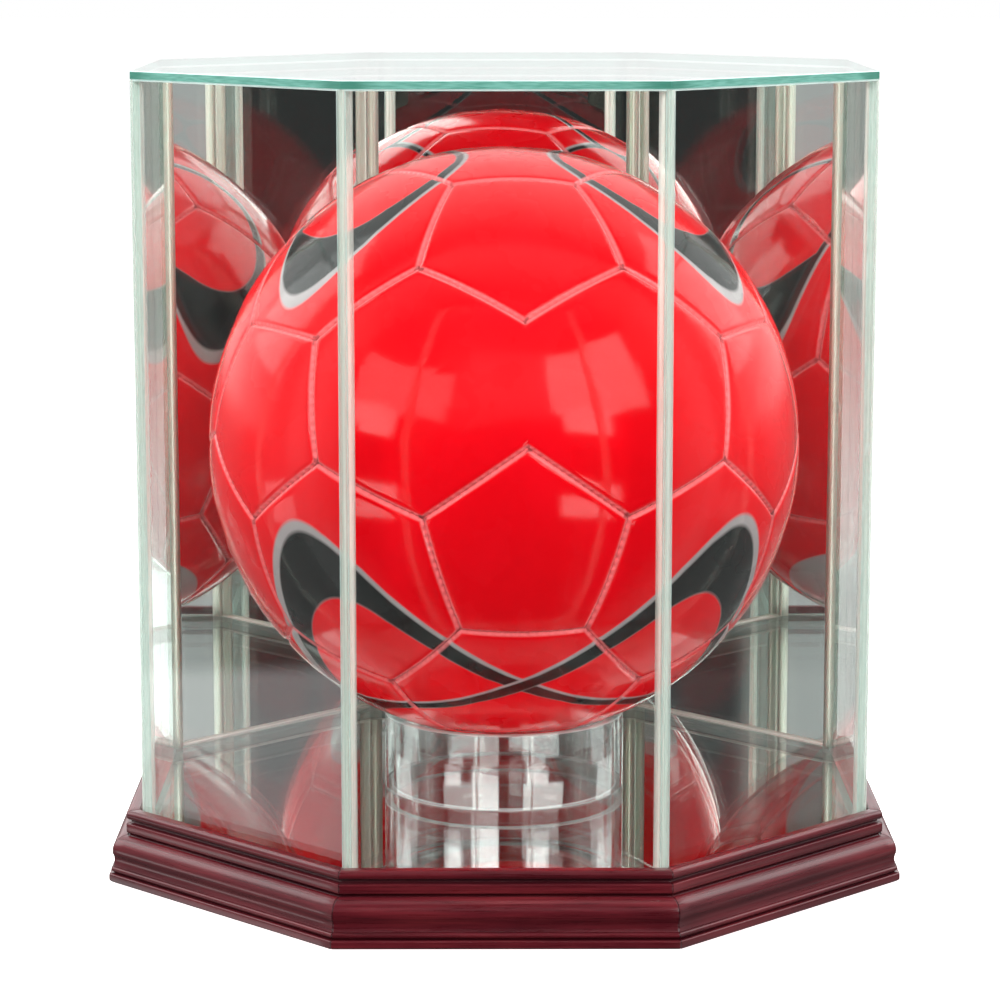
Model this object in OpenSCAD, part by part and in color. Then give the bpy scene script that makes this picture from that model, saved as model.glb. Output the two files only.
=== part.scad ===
// Eight-sided tabletop display case for a size 5 football.
//
// A cherry wood base carries a mirror floor and a clear ring. The football rests on the ring.
// A glass cover with three mirror panes at the back lifts off the base.
//
// Z is up, the front faces -Y, and z = 0 is the underside of the felt feet. Sizes are millimetres.

/* [Glass cover] */
// Width of the glass octagon, flat to flat, outside
glass_af = 263.3; // [255:0.1:280]
// Thickness of every pane
glass_t = 3.2; // [2.5:0.1:4]
// Height of the whole case above the table
case_h = 292.8; // [285:0.1:310]
// How far the top plate stays inside the outer faces of the panes
top_inset = 0.2; // [0:0.1:1]
// Gap between the inner edges of neighbouring panes
pane_gap = 0.3; // [0.2:0.1:0.6]
// Leg of the clear fillet inside each upright joint
bead_leg = 2.6; // [1.5:0.1:4]

/* [Base moulding] */
// Height of the wood, from underside to lip
wood_h = 25.6; // [24:0.1:32]
// Width of the lip around the foot of the glass
lip_w = 4.8; // [4:0.1:7]
// Clearance between the lip and the glass
lip_gap = 0.75; // [0.4:0.05:1.5]
// How far the foot of the moulding stands out past the lip
foot_out = 6.4; // [6:0.1:9]
// Width of the ledge that carries the floor
ledge_w = 10.4; // [8:0.1:14]

/* [Floor] */
// Thickness of the plywood deck
deck_t = 6; // [4:0.5:9]
// Thickness of the mirror on the deck
mirror_t = 3.2; // [2:0.1:4]
// Depth of the mirror's face below the lip
floor_drop = 3.6; // [2:0.1:5]
// Clearance around the deck and the mirror
floor_gap = 0.3; // [0.2:0.1:1]

/* [Riser ring] */
// Outside diameter of the clear ring
ring_od = 90; // [70:1:110]
// Wall of the ring
ring_wall = 3; // [2:0.5:5]
// Height of the ring
ring_h = 28.5; // [20:0.5:34]

/* [Football] */
// Diameter of the ball
ball_d = 220; // [214:1:224]
// Thickness of the stitched cover and its backing
cover_t = 3; // [2:0.5:5]
// Thickness of the rubber bladder
bladder_t = 1.2; // [0.8:0.2:2]
// Diameter of the valve's stem
valve_d = 8; // [6:0.5:10]

/* [Fixings] */
// Thickness of the felt feet
pad_t = 0.8; // [0.5:0.1:2]
// Diameter of the felt feet
pad_d = 12; // [8:1:14]
// Diameter of the deck screws
screw_d = 3.4; // [3:0.1:4]
// Length of the deck screws
screw_len = 14; // [10:0.5:16]
// Height of the V-nails that pull each mitre together
nail_h = 10; // [6:1:12]

/* [Hidden] */
SIDES = 8;
STEP = 360 / SIDES;
HALF = STEP / 2;
FINE = 96;

// One name for each side, anticlockwise from the right-hand side
SIDE_NAMES = ["right", "back_right", "back", "back_left", "left", "front_left", "front", "front_right"];
// The joint at each corner, half a step anticlockwise of the side with the same number
CORNER_NAMES = ["right_rear", "rear_right", "rear_left", "left_rear",
                "left_front", "front_left", "front_right", "right_front"];
GLASS_SIDES = [0, 4, 5, 6, 7];
MIRROR_SIDES = [1, 2, 3];

CHERRY = [0.36, 0.09, 0.12];
CLEAR = [0.75, 0.88, 0.86, 0.3];
SILVER = [0.62, 0.65, 0.66];
BALL_RED = [0.85, 0.05, 0.1];

// Half widths, from the centre to a flat
glass_out = glass_af / 2;
glass_in = glass_out - glass_t;
lip_in = glass_out + lip_gap;
lip_out = lip_in + lip_w;
foot_r = lip_out + foot_out;
ledge_in = lip_in - ledge_w;
floor_r = lip_in - floor_gap;
top_r = glass_out - top_inset;

// Heights
wood_top = pad_t + wood_h;
mirror_top = wood_top - floor_drop;
deck_top = mirror_top - mirror_t;
ledge_z = deck_top - deck_t;
glass_top_z = case_h - glass_t;
ring_top = mirror_top + ring_h;

// The ball's centre leaves a hair of clearance over the ring's inner rim
ball_r = ball_d / 2;
ring_r = ring_od / 2;
ring_in = ring_r - ring_wall;
rim_bevel = 0.5;
rest_gap = 0.3;
ball_z = ring_top + sqrt(pow(ball_r + rest_gap, 2) - pow(ring_in + rim_bevel, 2));

pane_w = 2 * glass_in * tan(HALF) - pane_gap;

// The valve sits low on the back of the ball
valve_tilt = 112;
valve_turn = 60;
valve_len = 16;
valve_flange_d = 20;
valve_flange_t = 2;

screw_r = (lip_in + ledge_in) / 2;
screw_head_d = 2 * screw_d;
screw_head_h = 1.9;
pad_r = (foot_r + ledge_in) / 2 / cos(HALF);

function arc(x, z, r, from, to, n = 8) =
    [for (i = [0:n]) let (a = from + (to - from) * i / n) [x + r * cos(a), z + r * sin(a)]];

// Outer face of the moulding from the lip down: bead, groove, fillet, groove, ovolo, cove,
// astragal and foot. The heights are fractions of the wood's height.
function moulding_profile(h = wood_h, lip = lip_out, foot = foot_r) =
    let (
        bead = 0.066 * h,
        groove = 0.04 * h,
        fillet_top = 0.82 * h,
        fillet_end = 0.69 * h,
        ovolo_z = 0.45 * h,
        ovolo_r = 0.2 * h,
        face = foot - 0.055 * h,
        cove_r = 0.19 * h,
        cove_z = 0.31 * h,
        astragal_z = 0.175 * h,
        astragal_r = 0.035 * h,
        toe_z = 0.115 * h,
        toe = 0.024 * h)
    concat(
        [[lip_in, h]],
        arc(lip - bead, h - bead, bead, 90, -40),
        arc(lip - 1.2 * groove, fillet_top + 0.75 * groove, 0.6 * groove, 80, 260, 6),
        [[lip, fillet_top], [lip, fillet_end]],
        arc(lip - 0.6 * groove, fillet_end - groove, 0.6 * groove, 110, 270, 6),
        arc(face - ovolo_r, ovolo_z, ovolo_r, 90, 0),
        arc(face + 0.88 * cove_r, cove_z, cove_r, 152, 208, 6),
        arc(face - 0.01 * h, astragal_z, astragal_r, 80, -80, 6),
        [[face - 0.02 * h, toe_z]],
        arc(foot - toe, toe_z - toe, toe, 90, 0, 4),
        [[foot, 0.02 * h], [foot - 0.02 * h, 0]]);

module octagon(r, h) {
    linear_extrude(h)
        polygon([for (i = [0:SIDES - 1]) [cos(STEP * i + HALF), sin(STEP * i + HALF)] * r / cos(HALF)]);
}

// The eighth of a turn about side i
module sector(r, h) {
    linear_extrude(h)
        polygon([[0, 0], [r, -r * tan(HALF)], [r, r * tan(HALF)]]);
}

// One mitred length of the base moulding
module moulding(i) {
    reach = foot_r + 5;
    color(CHERRY)
    translate([0, 0, pad_t])
    rotate(STEP * i)
    difference() {
        intersection() {
            rotate([90, 0, 0])
            linear_extrude(2 * reach * tan(HALF), center = true)
                polygon(concat(moulding_profile(),
                    [[ledge_in, 0], [ledge_in, ledge_z - pad_t], [lip_in, ledge_z - pad_t]]));
            sector(reach, wood_h);
        }
        // Pilot hole for the deck screw
        translate([screw_r, 0, deck_top - pad_t - screw_len])
            cylinder(d = screw_d, h = screw_len, $fn = FINE);
    }
}

module deck_board() {
    color([0.72, 0.58, 0.4])
    difference() {
        translate([0, 0, ledge_z])
            octagon(floor_r, deck_t);
        for (i = [0:SIDES - 1])
            rotate(STEP * i)
            translate([screw_r, 0, deck_top])
                screw_space();
    }
}

// The countersunk hole for a deck screw, below z = 0
module screw_space() {
    translate([0, 0, -deck_t - 1])
        cylinder(d = screw_d, h = deck_t + 1, $fn = FINE);
    translate([0, 0, -screw_head_h])
        cylinder(d1 = screw_d, d2 = screw_head_d, h = screw_head_h, $fn = FINE);
}

module floor_mirror() {
    color(SILVER)
    translate([0, 0, deck_top])
        octagon(floor_r, mirror_t);
}

// A countersunk screw with a cross recess, head up at z = 0
module deck_screw() {
    recess_l = 0.55 * screw_head_d;
    recess_w = 0.8;
    recess_h = 1.1;
    tip_h = 3;
    difference() {
        union() {
            translate([0, 0, tip_h - screw_len])
                cylinder(d = screw_d, h = screw_len - tip_h - screw_head_h, $fn = FINE);
            translate([0, 0, -screw_head_h])
                cylinder(d1 = screw_d, d2 = screw_head_d, h = screw_head_h, $fn = FINE);
            translate([0, 0, -screw_len])
                cylinder(d1 = 0.6, d2 = screw_d, h = tip_h, $fn = FINE);
        }
        for (a = [0, 90])
            rotate(a)
            translate([-recess_l / 2, -recess_w / 2, -recess_h])
                cube([recess_l, recess_w, recess_h + 1]);
    }
}

module deck_screws() {
    color([0.75, 0.68, 0.45])
    for (i = [0:SIDES - 1])
        rotate(STEP * i)
        translate([screw_r, 0, deck_top])
            deck_screw();
}

// Two V-nails across each mitre, driven up from the underside
module corner_v_nails() {
    leg = 4.5;
    sheet = 0.4;
    splay = 28;
    spread = 6.5;
    color([0.55, 0.56, 0.58])
    for (i = [0:SIDES - 1])
        rotate(STEP * i + HALF)
        for (r = [pad_r - spread, pad_r + spread - leg / 2])
            translate([r, 0, pad_t])
            linear_extrude(nail_h)
                polygon([
                    [0, 0],
                    [leg * sin(splay), leg * cos(splay)],
                    [leg * sin(splay) + sheet, leg * cos(splay)],
                    [sheet / cos(splay), 0],
                    [leg * sin(splay) + sheet, -leg * cos(splay)],
                    [leg * sin(splay), -leg * cos(splay)]]);
}

module felt_pads() {
    color([0.1, 0.1, 0.1])
    for (i = [0:SIDES - 1])
        rotate(STEP * i + HALF)
        translate([pad_r, 0, 0])
            cylinder(d = pad_d, h = pad_t, $fn = FINE);
}

// A polished length of clear tube with a small bevel inside its upper rim
module riser_ring() {
    color(CLEAR)
    translate([0, 0, mirror_top])
    rotate_extrude($fn = FINE)
        polygon([
            [ring_in, 0], [ring_r, 0], [ring_r, ring_h],
            [ring_in + rim_bevel, ring_h], [ring_in, ring_h - rim_bevel]]);
}

// One square-cut pane, standing on the floor mirror
module pane(i) {
    rotate(STEP * i)
    translate([glass_in, -pane_w / 2, mirror_top])
        cube([glass_t, pane_w, glass_top_z - mirror_top]);
}

module glass_pane(i) {
    color(CLEAR)
        pane(i);
}

module mirror_pane(i) {
    color(SILVER)
        pane(i);
}

module glass_top() {
    color(CLEAR)
    translate([0, 0, glass_top_z])
        octagon(top_r, glass_t);
}

// A point on a pane's side of the corner: r from the axis, w along the pane from its middle.
// side is 1 or -1 for the pane on either hand.
function corner_point(r, w, side) = [
    r * cos(HALF) + w * sin(HALF),
    side * (r * sin(HALF) - w * cos(HALF))];

// Clear adhesive: it fills the V between two square-cut edges and a fillet inside them
module corner_bead(i) {
    end = pane_w / 2;
    sink = 0.35;
    outer = corner_point(glass_out, end, 1);
    inner = corner_point(glass_in, end, 1);
    leg = corner_point(glass_in, end - bead_leg, 1);
    color(CLEAR)
    rotate(STEP * i + HALF)
    translate([0, 0, mirror_top])
    linear_extrude(glass_top_z - mirror_top)
        polygon([
            [outer.x, -outer.y], [outer.x - sink, 0], outer,
            inner, leg, [leg.x + 0.5, 0], [leg.x, -leg.y], [inner.x, -inner.y]]);
}

// Put the valve's own axis in place: it points outward from the ball's centre
module at_valve() {
    translate([0, 0, ball_z])
    rotate([0, 0, valve_turn])
    rotate([0, valve_tilt, 0])
        children();
}

module ball_cover() {
    color(BALL_RED)
    difference() {
        translate([0, 0, ball_z])
        difference() {
            sphere(r = ball_r, $fn = FINE);
            sphere(r = ball_r - cover_t, $fn = FINE);
        }
        at_valve()
        translate([0, 0, ball_r - 2 * cover_t])
            cylinder(d = valve_d + 0.2, h = 3 * cover_t, $fn = FINE);
    }
}

// Air bladder, a hair inside the cover, with a hole for the valve's stem
module ball_bladder() {
    outer = ball_r - cover_t - 0.2;
    color([0.12, 0.12, 0.12])
    difference() {
        translate([0, 0, ball_z])
        difference() {
            sphere(r = outer, $fn = FINE);
            sphere(r = outer - bladder_t, $fn = FINE);
        }
        at_valve()
        translate([0, 0, outer - 3 * bladder_t])
            cylinder(d = valve_d + 0.2, h = 5 * bladder_t, $fn = FINE);
    }
}

// Rubber valve: a stem with a needle hole, and a flange inside the bladder
module ball_valve() {
    flange_z = ball_r - cover_t - 0.2 - bladder_t - 0.6 - valve_flange_t;
    color([0.05, 0.05, 0.05])
    at_valve()
    difference() {
        union() {
            translate([0, 0, ball_r - 0.4 - valve_len])
                cylinder(d = valve_d, h = valve_len, $fn = FINE);
            translate([0, 0, flange_z])
                cylinder(d = valve_flange_d, h = valve_flange_t, $fn = FINE);
        }
        translate([0, 0, ball_r - 0.4 - valve_len + 3])
            cylinder(d = 1.2, h = valve_len, $fn = FINE);
    }
}

for (i = [0:SIDES - 1])
    moulding(i);
deck_board();
floor_mirror();
corner_v_nails();
deck_screws();
felt_pads();
riser_ring();
for (i = GLASS_SIDES)
    glass_pane(i);
for (i = MIRROR_SIDES)
    mirror_pane(i);
glass_top();
for (i = [0:SIDES - 1])
    corner_bead(i);
ball_cover();
ball_bladder();
ball_valve();
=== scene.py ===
"""Looks for the football display case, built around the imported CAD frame.

Metres, Z up, and the front of the case faces -Y. Places and driving sizes come from the frame.
"""
import math

import bmesh
import bpy
import numpy as np
from mathutils import Euler, Matrix, Vector, noise


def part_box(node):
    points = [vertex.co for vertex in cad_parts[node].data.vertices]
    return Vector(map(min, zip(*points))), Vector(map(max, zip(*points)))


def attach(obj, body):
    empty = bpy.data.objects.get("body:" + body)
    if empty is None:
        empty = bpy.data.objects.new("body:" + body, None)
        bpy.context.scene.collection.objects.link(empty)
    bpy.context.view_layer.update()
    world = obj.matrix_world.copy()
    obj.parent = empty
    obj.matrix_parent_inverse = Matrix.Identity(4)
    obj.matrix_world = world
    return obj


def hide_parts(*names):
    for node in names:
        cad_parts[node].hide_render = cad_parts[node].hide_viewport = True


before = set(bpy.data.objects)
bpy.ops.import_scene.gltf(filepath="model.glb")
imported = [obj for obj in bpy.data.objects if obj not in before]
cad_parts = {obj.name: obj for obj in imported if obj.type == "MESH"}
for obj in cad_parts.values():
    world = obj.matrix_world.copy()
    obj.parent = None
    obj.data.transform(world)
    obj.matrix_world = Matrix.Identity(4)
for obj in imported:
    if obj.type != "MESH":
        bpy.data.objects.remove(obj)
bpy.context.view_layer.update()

MM = 0.001

# --- The frame's own sizes ---------------------------------------------------------------------

SIDES = 8
STEP = math.radians(360 / SIDES)
HALF = STEP / 2
# Side 0 faces +X, and the rest follow anticlockwise
SIDE_NAMES = ("right", "back_right", "back", "back_left", "left", "front_left", "front", "front_right")
GLASS_SIDES = (0, 4, 5, 6, 7)
MIRROR_SIDES = (1, 2, 3)


def box_of(node):
    low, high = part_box(node)
    return Vector(low), Vector(high)


pane_low, pane_high = box_of("glass_right")
GLASS_IN, GLASS_OUT = pane_low.x, pane_high.x
PANE_W = pane_high.y - pane_low.y
FLOOR_Z, PANE_TOP = pane_low.z, pane_high.z

top_low, top_high = box_of("glass_top")
TOP_R, TOP_Z, CASE_H = top_high.x, top_low.z, top_high.z

wood_low, wood_high = box_of("moulding_right")
LEDGE_IN, FOOT_R = wood_low.x, wood_high.x
WOOD_Z, LIP_Z = wood_low.z, wood_high.z
WOOD_H = LIP_Z - WOOD_Z

deck_low, deck_high = box_of("deck_board")
LEDGE_Z = deck_low.z

ring_low, ring_high = box_of("riser_ring")
RING_R = ring_high.x

ball_low, ball_high = box_of("ball_cover")
BALL_R = (ball_high.z - ball_low.z) / 2
BALL_C = Vector((0, 0, (ball_low.z + ball_high.z) / 2))

# Sizes that the frame's boxes don't show, as the part's source has them
LIP_GAP = 0.75 * MM
LIP_IN = GLASS_OUT + LIP_GAP
LIP_OUT = LIP_IN + 4.8 * MM
RING_WALL = 3 * MM


# --- Node and mesh helpers ---------------------------------------------------------------------

def new_material(name):
    mat = bpy.data.materials.new(name)
    mat.use_nodes = True
    mat.node_tree.nodes.clear()
    return mat


def add(tree, kind, inputs=None, **settings):
    """Adds a node, sets its settings, and fills its inputs with values or other nodes' outputs."""
    made = tree.nodes.new(kind)
    for key, value in settings.items():
        setattr(made, key, value)
    for key, value in (inputs or {}).items():
        if isinstance(value, bpy.types.NodeSocket):
            tree.links.new(value, made.inputs[key])
        else:
            made.inputs[key].default_value = value
    return made


def finish_material(mat, shader):
    add(mat.node_tree, "ShaderNodeOutputMaterial", {"Surface": shader})
    return mat


def rgb(r, g, b):
    return (r, g, b, 1)


def math_node(tree, operation, a, b=0.0, c=0.0):
    return add(tree, "ShaderNodeMath", {0: a, 1: b, 2: c}, operation=operation).outputs[0]


def ramp(tree, factor, *stops):
    """A colour ramp with (position, colour) stops."""
    made = add(tree, "ShaderNodeValToRGB", {"Fac": factor})
    elements = made.color_ramp.elements
    while len(elements) < len(stops):
        elements.new(0.5)
    for element, (position, colour) in zip(elements, stops):
        element.position = position
        element.color = colour
    return made.outputs["Color"]


def remap(tree, value, low, high, to_low=0.0, to_high=1.0, smooth=True):
    made = add(tree, "ShaderNodeMapRange",
               {"Value": value, "From Min": low, "From Max": high, "To Min": to_low, "To Max": to_high},
               interpolation_type="SMOOTHSTEP" if smooth else "LINEAR")
    return made.outputs["Result"]


def coords(tree, scale=(1, 1, 1), rotation=(0, 0, 0)):
    """Object coordinates, scaled and turned."""
    where = add(tree, "ShaderNodeTexCoord").outputs["Object"]
    return add(tree, "ShaderNodeMapping",
               {"Vector": where, "Scale": scale, "Rotation": rotation}).outputs["Vector"]


def noise_node(tree, where, scale, detail=3.0, roughness=0.5):
    made = add(tree, "ShaderNodeTexNoise",
               {"Vector": where, "Scale": scale, "Detail": detail, "Roughness": roughness})
    return made.outputs["Fac"]


def bump(tree, height, distance, strength=1.0, normal=None):
    inputs = {"Height": height, "Distance": distance, "Strength": strength}
    if normal:
        inputs["Normal"] = normal
    return add(tree, "ShaderNodeBump", inputs).outputs["Normal"]


def mix_colour(tree, factor, a, b, blend="MIX"):
    made = add(tree, "ShaderNodeMix", {0: factor, 6: a, 7: b}, data_type="RGBA", blend_type=blend)
    return made.outputs[2]


def mix_shader(tree, factor, a, b):
    return add(tree, "ShaderNodeMixShader", {0: factor, 1: a, 2: b}).outputs[0]


def new_object(name, mesh, materials, matrix=None):
    """Links a new object with its materials, placed by matrix."""
    obj = bpy.data.objects.new(name, mesh)
    bpy.context.scene.collection.objects.link(obj)
    for mat in materials:
        mesh.materials.append(mat)
    if matrix:
        obj.matrix_world = matrix
    return obj


def mesh_from(name, verts, faces, slots=None, smooth=()):
    """A mesh from points and faces. slots gives each face's material, smooth the slots to shade smooth."""
    mesh = bpy.data.meshes.new(name)
    mesh.from_pydata([tuple(v) for v in verts], [], faces)
    for polygon in mesh.polygons:
        slot = slots[polygon.index] if slots else 0
        polygon.material_index = slot
        polygon.use_smooth = slot in smooth
    mesh.update()
    return mesh


def loft_faces(count, sections):
    """The faces of a closed bar: its sides between sections of count points each, and its two ends."""
    faces = []
    for s in range(sections - 1):
        for k in range(count):
            a, b = s * count + k, s * count + (k + 1) % count
            faces.append((a, b, b + count, a + count))
    faces.append(tuple(reversed(range(count))))
    faces.append(tuple(range((sections - 1) * count, sections * count)))
    return faces


def outward(mesh):
    """Turns the mesh's faces outward."""
    work = bmesh.new()
    work.from_mesh(mesh)
    bmesh.ops.recalc_face_normals(work, faces=work.faces)
    work.to_mesh(mesh)
    work.free()
    return mesh


def piece(obj, body, slot, *nodes):
    """Says which body a piece rides on and the CAD nodes that it stands for. slot, its record slot, is not
    used.
    """
    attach(obj, body)
    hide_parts(*nodes)


def side_matrix(i):
    return Matrix.Rotation(STEP * i, 4, "Z")


# --- Materials ---------------------------------------------------------------------------------

# How much a surface reflects when it is looked at square on
GLASS_GLOSS = 0.04
ACRYLIC_GLOSS = 0.2


def schlick(tree, base):
    """A surface's reflectance, from base when seen square on up to 1 at grazing angles."""
    facing = add(tree, "ShaderNodeLayerWeight", {"Blend": 0.5}).outputs["Facing"]
    fifth = math_node(tree, "POWER", facing, 5.0)
    made = add(tree, "ShaderNodeMath", {0: fifth, 1: 1 - base, 2: base}, operation="MULTIPLY_ADD")
    return made.outputs[0]


def clear_glass(name, tint):
    """Clear sheet glass that lets lamps through, with the faint wipe marks of a cleaned pane."""
    mat = new_material(name)
    tree = mat.node_tree
    wipes = noise_node(tree, coords(tree, (3, 3, 1.2), (0.2, 0.1, 0.6)), 6.0, 4.0)
    rough = remap(tree, wipes, 0.45, 0.75, 0.0, 0.035)
    through = add(tree, "ShaderNodeBsdfTransparent", {"Color": tint}).outputs[0]
    gloss = add(tree, "ShaderNodeBsdfGlossy", {"Color": rgb(1, 1, 1), "Roughness": rough}).outputs[0]
    return finish_material(mat, mix_shader(tree, schlick(tree, GLASS_GLOSS), through, gloss))


def glass_edge(name, light, deep, veil, corner_r=0.0):
    """The ground edge of a sheet: greenish, as milky as veil says, and else see-through.

    With corner_r, painted shade makes the edge deeper in colour near corners that far from the upright
    axis.
    """
    mat = new_material(name)
    tree = mat.node_tree
    grind = noise_node(tree, coords(tree, (60, 60, 900)), 3.0, 4.0)
    colour = ramp(tree, grind, (0.3, deep), (0.62, light))
    if corner_r:
        level = coords(tree, (1, 1, 0))
        far = add(tree, "ShaderNodeVectorMath", {0: level}, operation="LENGTH").outputs["Value"]
        # Painted shade: the edge is darker towards the plate's corners
        corner_shade = remap(tree, far, corner_r * 0.965, corner_r * 0.99, 0.0, 0.8)
        colour = mix_colour(tree, corner_shade, colour, rgb(0.03, 0.2, 0.14))
    normal = bump(tree, grind, 0.05 * MM, 0.5)
    body = add(tree, "ShaderNodeBsdfPrincipled", {
        "Base Color": colour, "Roughness": 0.28, "IOR": 1.5, "Normal": normal,
        "Coat Weight": 0.35, "Coat Roughness": 0.08}).outputs[0]
    through = add(tree, "ShaderNodeBsdfTransparent", {"Color": rgb(0.8, 0.93, 0.89)}).outputs[0]
    return finish_material(mat, mix_shader(tree, veil, through, body))


def clear_bead(name, low, high, glow):
    """Clear adhesive with drawn streaks along its length, as milky as low to high say.

    glow is how much of the light behind it comes through.
    """
    mat = new_material(name)
    tree = mat.node_tree
    streak = noise_node(tree, coords(tree, (500, 500, 6)), 1.0, 3.0)
    veil = remap(tree, streak, 0.35, 0.7, low, high)
    colour = ramp(tree, streak, (0.3, rgb(0.8, 0.84, 0.78)), (0.6, rgb(0.97, 0.98, 0.92)))
    normal = bump(tree, streak, 0.1 * MM, 0.6)
    body = add(tree, "ShaderNodeBsdfPrincipled", {
        "Base Color": colour, "Roughness": 0.2, "IOR": 1.43, "Normal": normal}).outputs[0]
    lit = add(tree, "ShaderNodeBsdfTranslucent", {"Color": colour, "Normal": normal}).outputs[0]
    through = add(tree, "ShaderNodeBsdfTransparent", {"Color": rgb(0.95, 0.98, 0.97)}).outputs[0]
    return finish_material(mat, mix_shader(tree, veil, through, mix_shader(tree, glow, body, lit)))


def silvering():
    """The silver behind mirror glass, seen through its faint green tint."""
    mat = new_material("mirror_silver")
    tree = mat.node_tree
    haze = noise_node(tree, coords(tree), 9.0, 3.0)
    rough = remap(tree, haze, 0.4, 0.8, 0.0, 0.012)
    gloss = add(tree, "ShaderNodeBsdfPrincipled", {
        "Base Color": rgb(0.9, 0.925, 0.915), "Metallic": 1.0, "Roughness": rough}).outputs[0]
    return finish_material(mat, gloss)


def backing_paint():
    """The matt grey paint on the back of a mirror, with fine roller texture."""
    mat = new_material("mirror_backing")
    tree = mat.node_tree
    stipple = noise_node(tree, coords(tree), 900.0, 4.0, 0.6)
    cloud = noise_node(tree, coords(tree), 12.0, 3.0)
    colour = ramp(tree, cloud, (0.3, rgb(0.2, 0.21, 0.22)), (0.7, rgb(0.26, 0.27, 0.28)))
    body = add(tree, "ShaderNodeBsdfPrincipled", {
        "Base Color": colour, "Roughness": 0.6,
        "Normal": bump(tree, stipple, 0.05 * MM, 0.5)}).outputs[0]
    return finish_material(mat, body)


def cherry_wood():
    """Dark cherry stain with long grain, glaze and painted shade darkening the grooves, and a gloss
    lacquer.
    """
    mat = new_material("cherry_wood")
    tree = mat.node_tree
    broad = noise_node(tree, coords(tree, (4, 40, 40)), 3.0, 3.0, 0.6)
    fine = noise_node(tree, coords(tree, (12, 420, 420)), 3.0, 5.0, 0.65)
    pores = noise_node(tree, coords(tree, (60, 1500, 1500)), 2.0, 2.0, 0.5)
    stain = ramp(tree, broad,
                 (0.3, rgb(0.06, 0.005, 0.009)), (0.5, rgb(0.11, 0.009, 0.015)),
                 (0.72, rgb(0.18, 0.018, 0.024)))
    streaks = remap(tree, fine, 0.35, 0.7, 0.72, 1.15)
    strength = ramp(tree, streaks, (0, rgb(0, 0, 0)), (1, rgb(1, 1, 1)))
    grained = mix_colour(tree, 1.0, stain, strength, "MULTIPLY")
    pored = mix_colour(tree, remap(tree, pores, 0.62, 0.72, 0.0, 0.5), grained, rgb(0.02, 0.003, 0.004))
    # Glaze and painted shade darken the grooves and the eased mitre edges
    glaze_and_shade = add(tree, "ShaderNodeAttribute", attribute_name="glaze_and_shade").outputs["Fac"]
    colour = mix_colour(tree, math_node(tree, "MULTIPLY", glaze_and_shade, 0.75), pored, rgb(0.018, 0.002, 0.004))
    rough = remap(tree, fine, 0.3, 0.7, 0.26, 0.36)
    normal = bump(tree, fine, 0.03 * MM, 0.4)
    body = add(tree, "ShaderNodeBsdfPrincipled", {
        "Base Color": colour, "Roughness": rough, "Normal": normal,
        "Coat Weight": 0.6, "Coat Roughness": 0.12}).outputs[0]
    return finish_material(mat, body)


def plywood():
    """Raw plywood: long grain and a few knots, with the plies showing on its edges."""
    mat = new_material("plywood")
    tree = mat.node_tree
    grain = noise_node(tree, coords(tree, (8, 160, 160)), 3.0, 5.0, 0.6)
    knots = noise_node(tree, coords(tree, (6, 22, 22)), 2.0, 2.0)
    plies = add(tree, "ShaderNodeTexWave", {"Vector": coords(tree), "Scale": 130.0},
                bands_direction="Z").outputs["Fac"]
    face = ramp(tree, grain, (0.3, rgb(0.42, 0.27, 0.14)), (0.7, rgb(0.66, 0.48, 0.3)))
    shaded = mix_colour(tree, remap(tree, knots, 0.55, 0.8, 0.0, 0.5), face, rgb(0.35, 0.2, 0.1))
    colour = mix_colour(tree, remap(tree, plies, 0.4, 0.6, 0.0, 0.25), shaded, rgb(0.3, 0.18, 0.1))
    body = add(tree, "ShaderNodeBsdfPrincipled", {
        "Base Color": colour, "Roughness": 0.7, "Normal": bump(tree, grain, 0.1 * MM, 0.5)}).outputs[0]
    return finish_material(mat, body)


def metal(name, dark, light, roughness):
    """Plated or plain steel with fine dull spots."""
    mat = new_material(name)
    tree = mat.node_tree
    spots = noise_node(tree, coords(tree), 700.0, 3.0)
    body = add(tree, "ShaderNodeBsdfPrincipled", {
        "Base Color": ramp(tree, spots, (0.3, dark), (0.7, light)), "Metallic": 1.0,
        "Roughness": remap(tree, spots, 0.3, 0.7, roughness, roughness + 0.15),
        "Normal": bump(tree, spots, 0.02 * MM, 0.4)}).outputs[0]
    return finish_material(mat, body)


def felt():
    """Black felt with loose fibres."""
    mat = new_material("felt")
    tree = mat.node_tree
    fibres = noise_node(tree, coords(tree), 2600.0, 4.0, 0.7)
    body = add(tree, "ShaderNodeBsdfPrincipled", {
        "Base Color": ramp(tree, fibres, (0.3, rgb(0.01, 0.01, 0.01)), (0.7, rgb(0.05, 0.05, 0.05))),
        "Roughness": 0.95, "Sheen Weight": 0.5,
        "Normal": bump(tree, fibres, 0.2 * MM, 0.8)}).outputs[0]
    return finish_material(mat, body)


def acrylic():
    """Polished clear acrylic with faint rubbing marks."""
    mat = new_material("clear_acrylic")
    tree = mat.node_tree
    marks = noise_node(tree, coords(tree, (1, 1, 6)), 60.0, 3.0)
    rough = remap(tree, marks, 0.4, 0.8, 0.0, 0.04)
    through = add(tree, "ShaderNodeBsdfTransparent", {"Color": rgb(0.985, 0.99, 0.99)}).outputs[0]
    gloss = add(tree, "ShaderNodeBsdfGlossy", {"Color": rgb(1, 1, 1), "Roughness": rough}).outputs[0]
    return finish_material(mat, mix_shader(tree, schlick(tree, ACRYLIC_GLOSS), through, gloss))


def rubber(name, colour, roughness=0.6):
    """Dull rubber with a fine grain."""
    mat = new_material(name)
    tree = mat.node_tree
    grain = noise_node(tree, coords(tree), 1200.0, 3.0)
    body = add(tree, "ShaderNodeBsdfPrincipled", {
        "Base Color": mix_colour(tree, grain, colour, rgb(0.05, 0.05, 0.05)),
        "Roughness": roughness, "Normal": bump(tree, grain, 0.05 * MM, 0.5)}).outputs[0]
    return finish_material(mat, body)


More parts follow.
